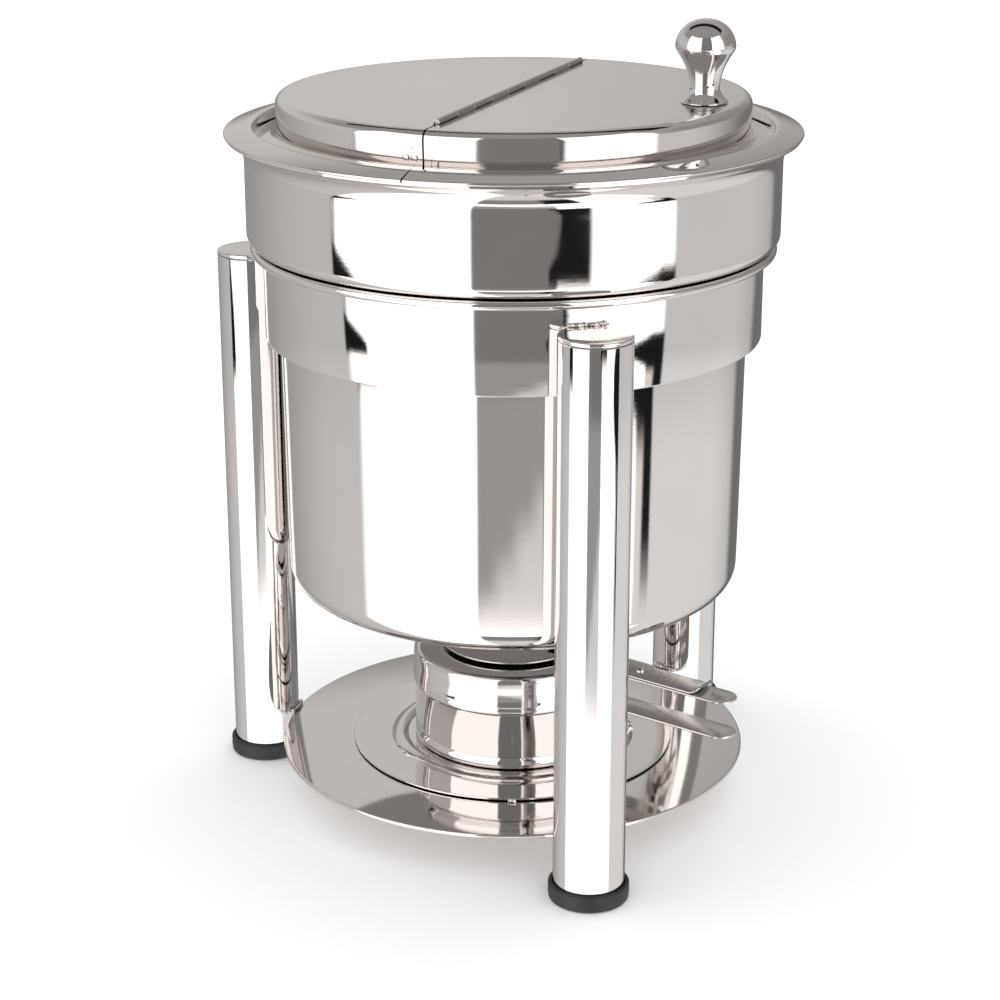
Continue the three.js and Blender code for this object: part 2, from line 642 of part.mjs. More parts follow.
function buildBurner() {
  const turn = HANDLE_ANGLE;
  piece('burner_can', burnerCan(), polished(), { turn });
  piece('can_handle', canHandle(), polished(), { turn });
  CAN_RIVETS.forEach(([y, z], i) => {
    piece(`can_handle_rivet_${i + 1}`, canRivet(y, z), satin(), { turn });
  });
  piece('fuel_tin', fuelTin(), satin(), { turn });
  piece('burner_cap', burnerCap(), polished(), { turn });
  piece('cap_handle', capHandle(), polished(), { turn });
  const flush = CAP_HANDLE_BOTTOM + CAP_HANDLE_THICKNESS;
  const capUnder = BURNER_CAP_TOP - CAP_SHEET - GAP;
  CAP_RIVETS.forEach((place, i) => {
    const rivet = uprightRivet(place, capUnder, [[0, flush]]);
    piece(`cap_handle_rivet_${i + 1}`, rivet, satin(), { turn });
  });
  const seat = DAMPER_BOTTOM + DAMPER_THICKNESS + GAP;
  const dome = [[2.6, seat], [2.1, seat + 1], [0, seat + 1.5]];
  const pivot = uprightRivet([PIVOT_RADIUS, 0], CAP_HANDLE_BOTTOM - GAP, dome);
  piece('damper_rivet', pivot, satin(), { turn });
  piece('damper', damper(), polished(), { turn });
}

buildStand();
buildPans();
buildLid();
buildBurner();

export default kettle;
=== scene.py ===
"""Soup kettle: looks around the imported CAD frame.

Shapes are built in millimetres and scaled to metres in finish_mesh. Angles are degrees about
the vessel's axis unless a comment says otherwise.
"""

import math

import bpy
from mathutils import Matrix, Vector, noise

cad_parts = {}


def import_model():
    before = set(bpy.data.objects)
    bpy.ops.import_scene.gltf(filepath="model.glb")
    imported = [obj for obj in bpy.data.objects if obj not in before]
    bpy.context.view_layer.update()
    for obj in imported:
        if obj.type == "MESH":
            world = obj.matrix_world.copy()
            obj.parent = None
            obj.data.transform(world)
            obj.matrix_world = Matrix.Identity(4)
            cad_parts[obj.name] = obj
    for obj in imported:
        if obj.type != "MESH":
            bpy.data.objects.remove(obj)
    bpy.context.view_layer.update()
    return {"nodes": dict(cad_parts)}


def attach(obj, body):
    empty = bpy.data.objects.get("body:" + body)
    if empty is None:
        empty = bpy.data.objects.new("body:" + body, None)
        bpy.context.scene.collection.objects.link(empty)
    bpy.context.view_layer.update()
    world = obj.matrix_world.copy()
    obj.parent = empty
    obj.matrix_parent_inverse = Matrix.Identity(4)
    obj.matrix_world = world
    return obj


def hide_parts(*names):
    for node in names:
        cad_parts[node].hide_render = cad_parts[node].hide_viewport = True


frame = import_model()

MM = 0.001
FRONT = -159.8  # the angle that faces the camera

# ------------------------------------------------------------------ materials


class Nodes:
    """Short calls for building a node tree."""

    def __init__(self, name):
        self.material = bpy.data.materials.new(name)
        self.material.use_nodes = True
        self.tree = self.material.node_tree
        self.tree.nodes.clear()

    def add(self, kind, inputs=None, **settings):
        node = self.tree.nodes.new(kind)
        for key, value in settings.items():
            setattr(node, key, value)
        for key, value in (inputs or {}).items():
            self.put(node, key, value)
        return node

    def put(self, node, key, value):
        if isinstance(value, bpy.types.NodeSocket):
            self.tree.links.new(value, node.inputs[key])
        else:
            node.inputs[key].default_value = value

    def math(self, operation, a, b=0.0):
        return self.add("ShaderNodeMath", {0: a, 1: b}, operation=operation).outputs[0]

    def ramp(self, fac, stops):
        node = self.add("ShaderNodeValToRGB", {"Fac": fac})
        elements = node.color_ramp.elements
        while len(elements) < len(stops):
            elements.new(0.5)
        for element, (place, colour) in zip(elements, stops):
            element.position = place
            element.color = (*colour, 1)
        return node.outputs["Color"]

    def noise(self, vector, scale, detail=2.0, roughness=0.5):
        inputs = {"Vector": vector, "Scale": scale, "Detail": detail, "Roughness": roughness}
        return self.add("ShaderNodeTexNoise", inputs).outputs["Fac"]

    def range(self, value, low, high, start=0.0, end=1.0):
        inputs = {"Value": value, "From Min": low, "From Max": high, "To Min": start, "To Max": end}
        return self.add("ShaderNodeMapRange", inputs).outputs["Result"]


def around_axis(n, stretch):
    """Coordinates that run along circles about the vessel's axis, so marks lie round it."""
    place = n.add("ShaderNodeTexCoord").outputs["Object"]
    parts = n.add("ShaderNodeSeparateXYZ", {"Vector": place})
    x, y, z = parts.outputs
    angle = n.math("ARCTAN2", y, x)
    radius = n.math("SQRT", n.math("ADD", n.math("MULTIPLY", x, x), n.math("MULTIPLY", y, y)))
    along = n.math("MULTIPLY", angle, 1.0 / stretch)
    return n.add("ShaderNodeCombineXYZ", {"X": radius, "Y": along, "Z": z}).outputs[0]


def metal(n, tone, roughness, bump):
    """Finishes a tree as bare metal."""
    inputs = {"Base Color": tone, "Metallic": 1.0, "Roughness": roughness, "Normal": bump.outputs[0]}
    shader = n.add("ShaderNodeBsdfPrincipled", inputs)
    n.add("ShaderNodeOutputMaterial", {"Surface": shader.outputs[0]})
    return n.material


def steel(name, colour, rough, marks="round", wave=0.02, grain=0.02, cloud=0.05):
    """Stainless steel with faint polishing marks, cloudy wiping and a slightly wavy sheet.

    The marks run round the vessel, or else along Z. wave bends the sheet and grain lifts the marks.
    """
    n = Nodes(name)
    place = n.add("ShaderNodeTexCoord").outputs["Object"]
    if marks == "round":
        lines = around_axis(n, 60.0)
    else:
        turned = {"Vector": place, "Scale": (1.0, 1.0, 0.03)}
        lines = n.add("ShaderNodeMapping", turned).outputs[0]
    fine = n.noise(lines, 2600.0, 3.0, 0.6)
    scratch = n.noise(lines, 700.0, 4.0, 0.7)
    clouds = n.noise(place, 16.0, 3.0, 0.55)
    dark = tuple(c * (1 - cloud) for c in colour)
    tone = n.ramp(clouds, [(0.3, dark), (0.7, colour)])
    low, high = rough * 0.75, rough * 1.5 + 0.01
    mixed = n.math("ADD", n.math("MULTIPLY", scratch, 0.5), n.math("MULTIPLY", clouds, 0.5))
    roughness = n.range(mixed, 0.35, 0.65, low, high)
    height = n.math("ADD", n.math("MULTIPLY", fine, 0.5), n.math("MULTIPLY", scratch, 0.5))
    sheet = n.noise(place, 9.0, 1.0, 0.4)
    swell = n.add("ShaderNodeBump", {"Height": sheet, "Strength": wave, "Distance": 0.004})
    lay = {"Height": height, "Strength": grain, "Distance": 0.0004, "Normal": swell.outputs[0]}
    return metal(n, tone, roughness, n.add("ShaderNodeBump", lay))


def lid_steel():
    """Mirror on the wall; the top is a little softer, with faint straight polishing marks."""
    darker = (0.77, 0.735, 0.715)
    n = Nodes("lid_steel")
    place = n.add("ShaderNodeTexCoord").outputs["Object"]
    height = n.add("ShaderNodeSeparateXYZ", {"Vector": place}).outputs["Z"]
    top = n.range(height, 0.4008, 0.4014)
    turned = {"Vector": place, "Scale": (0.03, 1.0, 1.0)}
    lines = n.add("ShaderNodeMapping", turned).outputs[0]
    scratch = n.noise(lines, 900.0, 4.0, 0.7)
    clouds = n.noise(place, 14.0, 3.0, 0.55)
    tone = n.ramp(clouds, [(0.3, darker), (0.7, STEEL_TONE)])
    soft = n.range(scratch, 0.35, 0.65, 0.04, 0.08)
    roughness = n.math("ADD", n.math("MULTIPLY", soft, top), n.range(clouds, 0.3, 0.7, 0.05, 0.08))
    sheet = n.noise(place, 9.0, 1.0, 0.4)
    swell = n.add("ShaderNodeBump", {"Height": sheet, "Strength": 0.008, "Distance": 0.004})
    grain = {"Height": scratch, "Strength": 0.02, "Distance": 0.0003, "Normal": swell.outputs[0]}
    return metal(n, tone, roughness, n.add("ShaderNodeBump", grain))


def weld_metal():
    """Rough sparkling metal with straw and grey heat tint."""
    n = Nodes("weld_metal")
    place = n.add("ShaderNodeTexCoord").outputs["Object"]
    patch = n.noise(place, 240.0, 3.0, 0.6)
    tone = n.ramp(patch, [(0.25, (0.3, 0.27, 0.25)), (0.45, (0.78, 0.75, 0.72)), (0.7, (0.9, 0.88, 0.86))])
    rough = n.range(n.noise(place, 900.0, 2.0), 0.3, 0.7, 0.12, 0.42)
    lumps = n.noise(place, 900.0, 3.0, 0.6)
    bump = n.add("ShaderNodeBump", {"Height": lumps, "Strength": 0.35, "Distance": 0.0005})
    return metal(n, tone, rough, bump)


def black_rubber():
    """Dull black rubber, slightly dusty, with fine pores."""
    n = Nodes("black_rubber")
    place = n.add("ShaderNodeTexCoord").outputs["Object"]
    dust = n.noise(place, 90.0, 5.0, 0.65)
    tone = n.ramp(dust, [(0.35, (0.013, 0.012, 0.012)), (0.75, (0.035, 0.032, 0.031))])
    rough = n.range(dust, 0.3, 0.7, 0.42, 0.62)
    pores = n.noise(place, 1500.0, 3.0, 0.6)
    bump = n.add("ShaderNodeBump", {"Height": pores, "Strength": 0.25, "Distance": 0.0005})
    inputs = {"Base Color": tone, "Roughness": rough, "Normal": bump.outputs[0]}
    shader = n.add("ShaderNodeBsdfPrincipled", inputs)
    n.add("ShaderNodeOutputMaterial", {"Surface": shader.outputs[0]})
    return n.material


STEEL_TONE = (0.81, 0.785, 0.775)
BURNER_TONE = (0.77, 0.745, 0.735)
STRIP_TONE = (0.7, 0.675, 0.665)
# The hinge's steel is darker than the rest: painted shade, standing in for the barrel's dark, shaded look.
HINGE_PAINTED_SHADE_TONE = (0.55, 0.53, 0.52)
HIDDEN_TONE = (0.7, 0.67, 0.65)
# Each finish with the record's material slot that it stands for.
FINISHES = {
    "polished": (steel("polished_steel", STEEL_TONE, 0.035), "polished_stainless"),
    "tube": (steel("tube_steel", STEEL_TONE, 0.03, marks="straight", wave=0.01), "polished_stainless"),
    "burner": (steel("burner_steel", BURNER_TONE, 0.05), "polished_stainless"),
    "strip": (
        steel("strip_steel", STRIP_TONE, 0.2, marks="straight", wave=0.01, grain=0.04),
        "polished_stainless",
    ),
    "hinge": (steel("hinge_steel", HINGE_PAINTED_SHADE_TONE, 0.16, marks="straight", grain=0.05), "satin_stainless"),
    "lid": (lid_steel(), "polished_stainless"),
    "hidden": (steel("hidden_steel", HIDDEN_TONE, 0.3, marks="straight", grain=0.1), "satin_stainless"),
    "weld": (weld_metal(), "weld_metal"),
    "rubber": (black_rubber(), "black_rubber"),
}

# --------------------------------------------------------------------- shapes


def finish_mesh(name, points, faces, crease=32.0):
    """A mesh object from millimetre points, smooth except where it turns sharply."""
    mesh = bpy.data.meshes.new(name)
    mesh.from_pydata([[c * MM for c in p] for p in points], [], faces)
    mesh.validate()
    mesh.polygons.foreach_set("use_smooth", [True] * len(mesh.polygons))
    mesh.set_sharp_from_angle(angle=math.radians(crease))
    thing = bpy.data.objects.new(name, mesh)
    bpy.context.scene.collection.objects.link(thing)
    return thing


def add_piece(thing, finish, body, node=None):
    """Gives a piece its finish and its body, and hides the CAD node it stands for."""
    material, slot = FINISHES[finish]
    thing.data.materials.append(material)
    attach(thing, body)
    if node:
        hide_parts(node)


def bow(centre, radius, start, end, steps=8):
    """Points on an arc in the radius and height plane; angles in degrees."""
    turn = [math.radians(start + (end - start) * i / steps) for i in range(steps + 1)]
    return [(centre[0] + radius * math.cos(a), centre[1] + radius * math.sin(a)) for a in turn]


def eased(corners, steps=4):
    """A closed profile whose corners, each (r, z, radius), are rounded."""
    out = []
    count = len(corners)
    for i, (r, z, ease) in enumerate(corners):
        if not ease:
            out.append((r, z))
            continue
        here = Vector((r, z))
        back = (Vector(corners[i - 1][:2]) - here).normalized()
        ahead = (Vector(corners[(i + 1) % count][:2]) - here).normalized()
        a, b = here + back * ease, here + ahead * ease
        for k in range(steps + 1):
            t = k / steps
            p = a * (1 - t) ** 2 + here * 2 * t * (1 - t) + b * t**2
            out.append((p.x, p.y))
    return out


def spun(profile, segments, closed):
    """Points and faces of a profile turned round Z; points at radius 0 become one pole each."""
    points, rows, faces = [], [], []
    for r, z in profile:
        if r < 1e-6:
            rows.append([len(points)] * segments)
            points.append((0, 0, z))
            continue
        rows.append([len(points) + j for j in range(segments)])
        for j in range(segments):
            a = 2 * math.pi * j / segments
            points.append((r * math.cos(a), r * math.sin(a), z))
    pairs = list(zip(rows, rows[1:]))
    if closed:
        pairs.append((rows[-1], rows[0]))
    for low, high in pairs:
        for j in range(segments):
            k = (j + 1) % segments
            ring = [low[j], low[k], high[k], high[j]]
            face = [v for i, v in enumerate(ring) if v not in ring[:i]]
            if len(face) > 2:
                faces.append(face)
    return points, faces


def lathe(name, profile, segments=256, closed=False, at=(0, 0), crease=32.0):
    """A profile of (r, z) turned right round an upright axis at the given place."""
    points, faces = spun(profile, segments, closed)
    moved = [(x + at[0], y + at[1], z) for x, y, z in points]
    return finish_mesh(name, moved, faces, crease)


def band_faces(rows, around):
    """Faces between rings of points that follow each other."""
    faces = []
    for i in range(rows - 1):
        a, b = i * around, (i + 1) * around
        for j in range(around):
            k = (j + 1) % around
            faces.append([a + j, a + k, b + k, b + j])
    return faces


def tube_faces(rows, around):
    """The same, with the first and last ring closed."""
    last = (rows - 1) * around
    return [*band_faces(rows, around), list(range(around))[::-1], list(range(last, last + around))]


def joined(*parts):
    """One list of points and one of faces from several parts of a piece."""
    points, faces = [], []
    for more_points, more_faces in parts:
        shift = len(points)
        points += more_points
        faces += [[v + shift for v in face] for face in more_faces]
    return points, faces


def polar(radius, degrees):
    """The x and y of a point at a radius and an angle."""
    return radius * math.cos(math.radians(degrees)), radius * math.sin(math.radians(degrees))


def cut_lathe(profile, gaps, turn, segments, half=False):
    """A closed profile turned from one cut face to another.

    gaps holds each profile point's distance from the cutting plane. half stops the turn at the
    far side of that plane. The last value returned is the number of points in one row.
    """
    points, faces = [], []
    count = len(profile)
    spin = math.radians(turn)
    for (r, z), gap in zip(profile, gaps):
        lean = math.asin(min(1.0, gap / r))
        start, end = lean, (math.pi if half else 2 * math.pi) - lean
        for j in range(segments + 1):
            a = start + (end - start) * j / segments + spin
            points.append((r * math.cos(a), r * math.sin(a), z))
    row = segments + 1
    for i in range(count):
        k = (i + 1) % count
        for j in range(segments):
            faces.append([i * row + j, i * row + j + 1, k * row + j + 1, k * row + j])
    return points, faces, row


def ribbon(path, half_width, thickness):
    """A flat strip along a path of (x, z, slope) stations, with rounded edges and closed ends."""
    edge = thickness / 2
    section = []
    for side, start in ((1, -90), (-1, 90)):
        for i in range(7):
            a = math.radians(start + 30 * i)
            section.append((side, math.cos(a) * edge, math.sin(a) * edge))
    points = []
    for (x, z, slope), half in zip(path, half_width):
        straight = max(half - edge, 0.02)
        for side, dy, dz in section:
            points.append((x - math.sin(slope) * dz, side * straight + dy, z + math.cos(slope) * dz))
    return points, tube_faces(len(path), len(section))


def turned_about(points, degrees):
    """Points turned about the vessel's axis."""
    c, s = math.cos(math.radians(degrees)), math.sin(math.radians(degrees))
    return [(x * c - y * s, x * s + y * c, z) for x, y, z in points]


def end_taper(t):
    """The thickness of a bead along its length, from 0 to 1: full in the middle, less at both ends."""
    inward = 0.12 + t * 0.88 if t < 0.5 else 1.0 - (t - 0.5) * 0.88
    return math.sin(math.pi * min(1.0, inward)) ** 0.25


def rough_bead(name, route, thickness, seed, ripple):
    """A weld bead: a lumpy tube along a route of points."""
    points = []
    steps, around = len(route), 14
    up = Vector((0, 0, 1))
    for i, place in enumerate(route):
        here = Vector(place)
        taper = end_taper(i / (steps - 1))
        ahead = Vector(route[min(i + 1, steps - 1)]) - Vector(route[max(i - 1, 0)])
        side = ahead.cross(up).normalized()
        for j in range(around):
            a = 2 * math.pi * j / around
            push = side * math.cos(a) + up * math.sin(a)
            spot = here + push * thickness
            lump = noise.noise(spot * 1.3 + Vector((seed, 0, 0))) * ripple
            lump += noise.noise(spot * 0.45 + Vector((0, seed, 0))) * ripple
            points.append(tuple(here + push * thickness * taper * (1 + lump)))
    return finish_mesh(name, points, tube_faces(steps, around), crease=60.0)


# ---------------------------------------------------------------------- stand

LEG_ANGLES = (-144.3, -24.3, 95.7)
TACK_ANGLES = (-159.8, -9.8, 50.2)
LEG_CENTRE = 152.4  # from the vessel's axis
TUBE_RADIUS = 19.05
TUBE_WALL = 1.5
RING_OUTER = 136.1
RING_BOTTOM = 271
RING_CLEAR = 136.4  # where a leg's notch is cut, just outside the ring band
NOTCH_FROM = 270.65
LEG_TOP = 306.8
CAP_BOTTOM = 304.5
PLATE_BOTTOM, PLATE_TOP = 25.3, 27.3
SEAT_BOTTOM, SEAT_TOP = 27.6, 28.6


def ring_band():
    """The upright band that is welded to the legs."""
    inner, top = 134.3, 317.4
    corners = [(inner, RING_BOTTOM, 0.5), (RING_OUTER, RING_BOTTOM, 0.8)]
    corners += [(RING_OUTER, top, 0.6), (inner, top, 0.6)]
    band = lathe("ring_band_smooth", eased(corners), closed=True)
    add_piece(band, "polished", "stand", "ring_band")


def base_plate():
    """The round plate low between the legs."""
    inner, outer = 60, 133  # inside the first radius the plate is simply flat
    edge = [(inner, PLATE_BOTTOM, 0), (outer, PLATE_BOTTOM, 0.7)]
    edge += [(outer, PLATE_TOP, 0.9), (inner, PLATE_TOP, 0)]
    plate = lathe("base_plate_smooth", [(0, PLATE_BOTTOM), *eased(edge), (0, PLATE_TOP)])
    add_piece(plate, "polished", "stand", "base_plate")


def burner_seat():
    """A sheet disc with a raised round bead; its edge stands slightly off the base plate."""
    centre, half, height = 65.4, 4.8, 2.4  # of the bead
    bend, outer, lift = 84, 92.3, 0.5  # the edge's lift begins at the bend

    def bead(base):
        steps = [i / 14 for i in range(15)]
        rise = [height * math.sin(math.pi * t) ** 0.85 for t in steps]
        return [(centre + half * (2 * t - 1), base + up) for t, up in zip(steps, rise)]

    under = [(0, SEAT_BOTTOM), *bead(SEAT_BOTTOM)]
    edge = [(bend, SEAT_BOTTOM, 0), (outer, SEAT_BOTTOM + lift, 0.3)]
    edge += [(outer, SEAT_TOP + lift, 0.45), (bend, SEAT_TOP, 0)]
    over = [*reversed(bead(SEAT_TOP)), (0, SEAT_TOP)]
    seat = lathe("burner_seat_smooth", [*under, *eased(edge), *over])
    add_piece(seat, "polished", "stand", "burner_seat")


def clear_of_ring(points):
    """Moves the points that would stand in the ring band out to its outer face."""
    out = []
    for x, y, z in points:
        r = math.hypot(x, y)
        push = RING_CLEAR / r if z > NOTCH_FROM and r < RING_CLEAR else 1.0
        out.append((x * push, y * push, z))
    return out


def leg_piece(name, profile, angle, notched=True):
    """A profile turned about one leg's axis, and cut away where it meets the ring band."""
    points, faces = spun(profile, 96, False)
    cx, cy = polar(LEG_CENTRE, angle)
    moved = [(x + cx, y + cy, z) for x, y, z in points]
    if notched:
        moved = clear_of_ring(moved)
    return finish_mesh(name, moved, faces)


def legs():
    """Three tubes, each with a flat cap on top and a rubber foot."""
    inner, tube_bottom, sole = TUBE_RADIUS - TUBE_WALL, 3.3, 3
    tube = [(inner, 204.2), (inner, tube_bottom)]  # the inner wall is hidden and stops part way up
    tube += [(TUBE_RADIUS, z) for z in (tube_bottom, 120, 270.6, 270.7, 290, 303.8)]
    tube += [(TUBE_RADIUS - 0.35, 304.2)]
    cap = [(0, CAP_BOTTOM), *bow((TUBE_RADIUS - 0.5, CAP_BOTTOM + 0.5), 0.5, -90, 0, 3)]
    cap += bow((TUBE_RADIUS - 0.9, LEG_TOP - 0.9), 0.9, 0, 90, 6)
    cap += [(12, LEG_TOP), (0, LEG_TOP)]
    foot = [(0, 0), *bow((20.2, 1.1), 1.1, -90, 0, 5), (21.55, 3.4)]
    foot += [*bow((20.3, 8.0), 1.2, 0, 90, 6), (19.6, 9.35), (19.4, 8.9), (19.4, sole), (0, sole)]
    for i, angle in enumerate(LEG_ANGLES, start=1):
        add_piece(leg_piece(f"leg_tube_{i}_smooth", tube, angle), "tube", "stand", f"leg_tube_{i}")
        add_piece(leg_piece(f"leg_cap_{i}_smooth", cap, angle), "tube", "stand", f"leg_cap_{i}")
        rubber = leg_piece(f"leg_foot_{i}_smooth", foot, angle, notched=False)
        add_piece(rubber, "rubber", "stand", f"leg_foot_{i}")


def ring_weld_route(angle):
    """Along the ring band, over the top of a leg."""
    steps, half = 46, 4.2
    arcs = [angle - half + 2 * half * k / (steps - 1) for k in range(steps)]
    return [(*polar(RING_CLEAR + 0.9, a), LEG_TOP + 0.75) for a in arcs]


def plate_weld_route(angle):
    """Round the inner side of a leg, where it meets the base plate."""
    steps, half = 36, 22
    cx, cy = polar(LEG_CENTRE, angle)
    arcs = [angle + 180 - half + 2 * half * k / (steps - 1) for k in range(steps)]
    around = [polar(TUBE_RADIUS + 1.2, a) for a in arcs]
    return [(cx + dx, cy + dy, 28.6) for dx, dy in around]


def tack_route(angle):
    """A short run on the edge of the burner seat."""
    steps, half = 12, 1.3
    arcs = [angle - half + 2 * half * k / (steps - 1) for k in range(steps)]
    return [(*polar(93.4, a), 28.2) for a in arcs]


def weld(name, route, thickness, seed, ripple=0.35):
    bead = rough_bead(f"{name}_rough", route, thickness, seed, ripple)
    add_piece(bead, "weld", "stand", name)


def stand_welds():
    """Behind each leg at the ring and at the base plate, and on the edge of the burner seat."""
    for i, (leg, tack) in enumerate(zip(LEG_ANGLES, TACK_ANGLES), start=1):
        weld(f"ring_weld_{i}", ring_weld_route(leg), thickness=0.9, seed=3.0 * i, ripple=0.6)
        weld(f"plate_weld_{i}", plate_weld_route(leg), thickness=1.1, seed=7.0 * i)
        weld(f"seat_tack_{i}", tack_route(tack), thickness=1.0, seed=11.0 * i, ripple=0.6)


# ----------------------------------------------------------------------- pans


def water_pan():
    """A deep pan, slightly tapered, whose rolled lip lies on the ring band."""
    outside = [(0, 127), *bow((113.5, 140), 13, -90, 0, 24), (126.9, 165), (128.3, 312)]
    lip = [*bow((130.3, 315.7), 2, 180, 90, 5), *bow((140.6, 319.2), 2.4, -142, 168, 20), (129.2, 318.7)]
    inside = [*bow((129.0, 317.0), 1.7, 90, 180, 4), (125.9, 165), *bow((113.5, 140), 12, 0, -90, 20)]
    pan = lathe("water_pan_smooth", [*outside, *lip, *inside, (0, 128)])
    add_piece(pan, "polished", "water_pan", "water_pan")


def food_pan():
    """A stepped pan: a well, a shoulder over the water pan's lip, a tall band and a flared top."""
    well = [(0, 138), *bow((112.5, 147), 9, -90, 0, 10), (122.5, 318.5)]
    shoulder = [*bow((126, 318.4), 3.5, 180, 90, 4), (132, 321.9), *bow((137.9, 328.6), 6.7, -90, 0, 14)]
    band = [(144.6, 345), (144.6, 364)]
    flare = [*bow((157.6, 367.2), 13, 180, 107, 16), (153.4, 380.9), *bow((157.6, 367.2), 14, 109, 180, 14)]
    inside = [(143.6, 345), *bow((137.9, 328.6), 5.7, 0, -90, 10), (127, 322.9)]
    inside += [*bow((126, 318.4), 4.5, 90, 180, 4), *bow((112.5, 147), 8, 0, -90, 8), (0, 139)]
    pan = lathe("food_pan_smooth", [*well, *shoulder, *band, *flare, *inside])
    add_piece(pan, "polished", "food_pan", "food_pan")


def pan_rim():
    """The rim ring: lip, inner wall and the ledge for the lid, with one narrow butt joint."""
    corners = [
        (154.1, 380.9, 0.3), (155.1, 381.2, 0.5), (155.1, 382.5, 0.7), (141.8, 385.7, 1.6),
        (139.5, 385.0, 1.1), (139.5, 378.3, 0.4), (131, 378.3, 0.45), (131, 377.3, 0.4),
        (140.4, 377.5, 0.5), (140.5, 383.8, 0.6), (142, 384.5, 0.3), (153.9, 382.1, 0.2),
    ]
    lip, crest = 152.4, 385  # the joint opens a little outside the one and above the other
    profile = eased(corners)
    gaps = [0.16 + (0.3 if r > lip else 0.0) + (0.15 if z > crest else 0.0) for r, z in profile]
    points, faces, row = cut_lathe(profile, gaps, turn=180.0, segments=300)
    faces.append([i * row for i in range(len(profile))])
    faces.append([i * row + row - 1 for i in range(len(profile))][::-1])
    rim = finish_mesh("food_pan_rim_smooth", points, faces)
    add_piece(rim, "polished", "food_pan", "food_pan_rim")


# ------------------------------------------------------------------------ lid

LID_TOP = 401.5
LID_UNDER = 400.6
SLOT_RADIUS = 111.0  # how far the slot for the hinge reaches
SLOT_HALF = 1.95
SEAM_HALF = 0.5


def lid_profile():
    """Closed profile of the lid shell, with its distance from the hinge plane at each point."""
    inmost = SLOT_HALF + 0.01
    top = [(r, LID_TOP, SLOT_HALF) for r in (inmost, 40, 80, SLOT_RADIUS)]
    top += [(SLOT_RADIUS, LID_TOP, SEAM_HALF)]
    shoulder, cove, foot = (122.3, 396.5), (131.2, 384.0), (136.5, 379.1)
    skin = [*bow(shoulder, 5, 90, 0, 12), *bow(cove, 4.5, 180, 270, 8), *bow(foot, 0.42, 80, -90, 6)]
    skin += [*bow(cove, 5.3, 270, 180, 8), *bow(shoulder, 4.1, 0, 90, 10)]
    outer = [(r, z, SEAM_HALF) for r, z in skin]
    under = [(SLOT_RADIUS, LID_UNDER, SEAM_HALF)]
    under += [(r, LID_UNDER, SLOT_HALF) for r in (SLOT_RADIUS, 60, inmost)]
    return top, outer, under


def lid_half(name, turn, body, node):
    """One half of the lid. Its cut face is two polygons, on either side of the slot's end."""
    top, outer, under = lid_profile()
    whole = [*top, *outer, *under]
    profile = [(r, z) for r, z, _ in whole]
    gaps = [gap for _, _, gap in whole]
    points, faces, row = cut_lathe(profile, gaps, turn, segments=200, half=True)
    first, last = len(top) - 1, len(whole) - len(under) + 1
    inner = [*range(first), *range(last, len(whole))]
    for end in (0, row - 1):
        faces.append([i * row + end for i in inner])
        faces.append([i * row + end for i in range(first, last)])
    thing = finish_mesh(name, points, faces)
    add_piece(thing, "lid", body, node)


HINGE_HEIGHT = 402.6
HINGE_LENGTH = 110.0  # from the middle to each end
KNUCKLES = 9
KNUCKLE_RADIUS = 1.7


def knuckle(x0, x1):
    """A piece of the hinge's barrel; only the barrel's own two ends are hollow."""
    around = 24
    near = 1.2 if x0 < 1 - HINGE_LENGTH else 0
    far = 1.2 if x1 > HINGE_LENGTH - 1 else 0
    rim = KNUCKLE_RADIUS - 0.1
    rings = [(x0 + near, 0.62), (x0, 0.95), (x0, rim), (x0 + 0.1, KNUCKLE_RADIUS)]
    rings += [(x1 - 0.1, KNUCKLE_RADIUS), (x1, rim), (x1, 0.95), (x1 - far, 0.62)]
    points = []
    for x, r in rings:
        for j in range(around):
            y, up = polar(r, 360 * j / around)
            points.append((x, y, HINGE_HEIGHT + up))
    return points, tube_faces(len(rings), around)


def slab(x0, x1, y0, y1, z0, z1):
    """A flat bar of sheet metal between six planes."""
    corners = ((y0, z0), (y1, z0), (y1, z1), (y0, z1))
    points = [(x, y, z) for x in (x0, x1) for y, z in corners]
    rings = ((0, 1, 2, 3), (7, 6, 5, 4), (0, 4, 5, 1), (1, 5, 6, 2), (2, 6, 7, 3), (3, 7, 4, 0))
    return points, [list(ring) for ring in rings]


def hinge_leaf(name, side, body, node):
    """A leaf under the top and every other knuckle of the barrel, each on its own tongue."""
    near, far, tongue_far = 0.9, 14.0, 1.65  # from the hinge plane
    leaf = sorted((side * near, side * far))
    tongue = sorted((side * near, side * tongue_far))
    parts = [slab(-HINGE_LENGTH, HINGE_LENGTH, *leaf, 399.5, 400.3)]
    pitch = 2 * HINGE_LENGTH / KNUCKLES
    for i in range(0 if side > 0 else 1, KNUCKLES, 2):
        x0, x1 = -HINGE_LENGTH + i * pitch + 0.2, -HINGE_LENGTH + (i + 1) * pitch - 0.2
        parts += [knuckle(x0, x1), slab(x0, x1, *tongue, 399.7, HINGE_HEIGHT)]
    add_piece(finish_mesh(name, *joined(*parts)), "hinge", body, node)


KNOB_PLACE = (0, -105.5)
KNOB_BASE = 401.8


